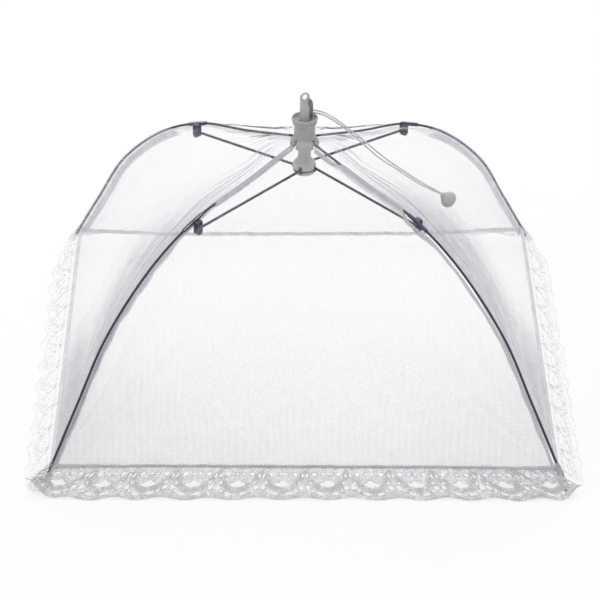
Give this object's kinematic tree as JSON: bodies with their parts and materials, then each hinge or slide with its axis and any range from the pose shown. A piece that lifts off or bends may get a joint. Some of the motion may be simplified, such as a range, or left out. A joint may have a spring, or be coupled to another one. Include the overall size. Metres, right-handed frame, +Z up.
{
  "type": "pop-up food cover",
  "caption": "Folding square net cover for food: sprung ribs and stretchers on a crown and runner, lace-trimmed hem, pull cord with a bead.",
  "frame": {"origin": "centre of the footprint, on the surface that the open cover stands on", "axes": "+Z up along the stem, -Y towards the front of the picture, +X towards the bead"},
  "size_m": [0.3988, 0.3988, 0.2183],
  "materials": {
    "crown_plastic": "smooth moulded plastic, semi-gloss",
    "stem_plastic": "smooth moulded plastic, semi-gloss",
    "spring_steel": "dark spring steel",
    "slate_wire": "dark slate enamel on steel wire",
    "slate_clip": "dark slate enamel on pressed steel",
    "tape": "woven lilac-grey binding",
    "pocket_cloth": "gathered grey cloth",
    "net_mesh": "fine translucent mesh",
    "lace": "white-grey cotton lace",
    "cord": "thin braided cord",
    "bead_plastic": "moulded plastic, slightly faceted"
  },
  "bodies": {
    "crown": {"crown": "crown_plastic", "crown_tie_wire": "slate_wire", "net_front": "net_mesh", "net_right": "net_mesh", "net_back": "net_mesh", "net_left": "net_mesh", "hem_front": "tape", "hem_right": "tape", "hem_back": "tape", "hem_left": "tape", "lace_front": "lace", "lace_right": "lace", "lace_back": "lace", "lace_left": "lace", "pull_cord_upper": "cord", "pull_cord_lower": "cord"},
    "runner": {"runner": "crown_plastic", "runner_tie_wire": "slate_wire", "stem": "stem_plastic", "catch_spring": "spring_steel"},
    "rib_front_right": {"rib_front_right": "slate_wire", "rib_clip_front_right": "slate_clip", "clip_rivet_front_right": "slate_clip", "rib_tape_front_right": "tape", "corner_pocket_front_right": "pocket_cloth"},
    "stretcher_front_right": {"stretcher_front_right": "slate_wire"},
    "rib_back_right": {"rib_back_right": "slate_wire", "rib_clip_back_right": "slate_clip", "clip_rivet_back_right": "slate_clip", "rib_tape_back_right": "tape", "corner_pocket_back_right": "pocket_cloth"},
    "stretcher_back_right": {"stretcher_back_right": "slate_wire"},
    "rib_back_left": {"rib_back_left": "slate_wire", "rib_clip_back_left": "slate_clip", "clip_rivet_back_left": "slate_clip", "rib_tape_back_left": "tape", "corner_pocket_back_left": "pocket_cloth"},
    "stretcher_back_left": {"stretcher_back_left": "slate_wire"},
    "rib_front_left": {"rib_front_left": "slate_wire", "rib_clip_front_left": "slate_clip", "clip_rivet_front_left": "slate_clip", "rib_tape_front_left": "tape", "corner_pocket_front_left": "pocket_cloth"},
    "stretcher_front_left": {"stretcher_front_left": "slate_wire"},
    "bead": {"pull_bead": "bead_plastic"}
  },
  "joints": [
    {"name": "runner_slide", "type": "slide", "parent": "crown", "child": "runner", "axis": [0, 0, -1], "range_m": [0, 0.165], "deforming": ["net_front", "hem_front", "lace_front", "net_right", "hem_right", "lace_right", "net_back", "hem_back", "lace_back", "net_left", "hem_left", "lace_left", "pull_cord_upper", "pull_cord_lower", "catch_spring"]},
    {"name": "rib_hinge_front_right", "type": "hinge", "parent": "crown", "child": "rib_front_right", "pos_m": [0.00608, -0.00608, 0.181], "axis": [0.7071, 0.7071, 0], "range_deg": [0, 48.1]},
    {"name": "stretcher_hinge_front_right", "type": "hinge", "parent": "runner", "child": "stretcher_front_right", "pos_m": [0.00509, -0.00509, 0.1586], "axis": [-0.7071, -0.7071, 0], "range_deg": [0, 69.9]},
    {"name": "rib_hinge_back_right", "type": "hinge", "parent": "crown", "child": "rib_back_right", "pos_m": [0.00608, 0.00608, 0.181], "axis": [-0.7071, 0.7071, 0], "range_deg": [0, 48.1]},
    {"name": "stretcher_hinge_back_right", "type": "hinge", "parent": "runner", "child": "stretcher_back_right", "pos_m": [0.00509, 0.00509, 0.1586], "axis": [0.7071, -0.7071, 0], "range_deg": [0, 69.9]},
    {"name": "rib_hinge_back_left", "type": "hinge", "parent": "crown", "child": "rib_back_left", "pos_m": [-0.00608, 0.00608, 0.181], "axis": [-0.7071, -0.7071, 0], "range_deg": [0, 48.1]},
    {"name": "stretcher_hinge_back_left", "type": "hinge", "parent": "runner", "child": "stretcher_back_left", "pos_m": [-0.00509, 0.00509, 0.1586], "axis": [0.7071, 0.7071, 0], "range_deg": [0, 69.9]},
    {"name": "rib_hinge_front_left", "type": "hinge", "parent": "crown", "child": "rib_front_left", "pos_m": [-0.00608, -0.00608, 0.181], "axis": [0.7071, -0.7071, 0], "range_deg": [0, 48.1]},
    {"name": "stretcher_hinge_front_left", "type": "hinge", "parent": "runner", "child": "stretcher_front_left", "pos_m": [-0.00509, -0.00509, 0.1586], "axis": [-0.7071, 0.7071, 0], "range_deg": [0, 69.9]},
    {"name": "bead_draw", "type": "slide", "parent": "crown", "child": "bead", "axis": [-0.7706, 0.1968, 0.6062], "range_m": [0, 0.1077]}
  ],
  "couplings": [
    {"joint": "rib_hinge_front_right", "follows": "runner_slide", "rad_per_m": 5.0794},
    {"joint": "stretcher_hinge_front_right", "follows": "runner_slide", "rad_per_m": 7.3779},
    {"joint": "rib_hinge_back_right", "follows": "runner_slide", "rad_per_m": 5.0794},
    {"joint": "stretcher_hinge_back_right", "follows": "runner_slide", "rad_per_m": 7.3779},
    {"joint": "rib_hinge_back_left", "follows": "runner_slide", "rad_per_m": 5.0794},
    {"joint": "stretcher_hinge_back_left", "follows": "runner_slide", "rad_per_m": 7.3779},
    {"joint": "rib_hinge_front_left", "follows": "runner_slide", "rad_per_m": 5.0794},
    {"joint": "stretcher_hinge_front_left", "follows": "runner_slide", "rad_per_m": 7.3779},
    {"joint": "bead_draw", "follows": "runner_slide", "ratio": 0.65152}
  ]
}
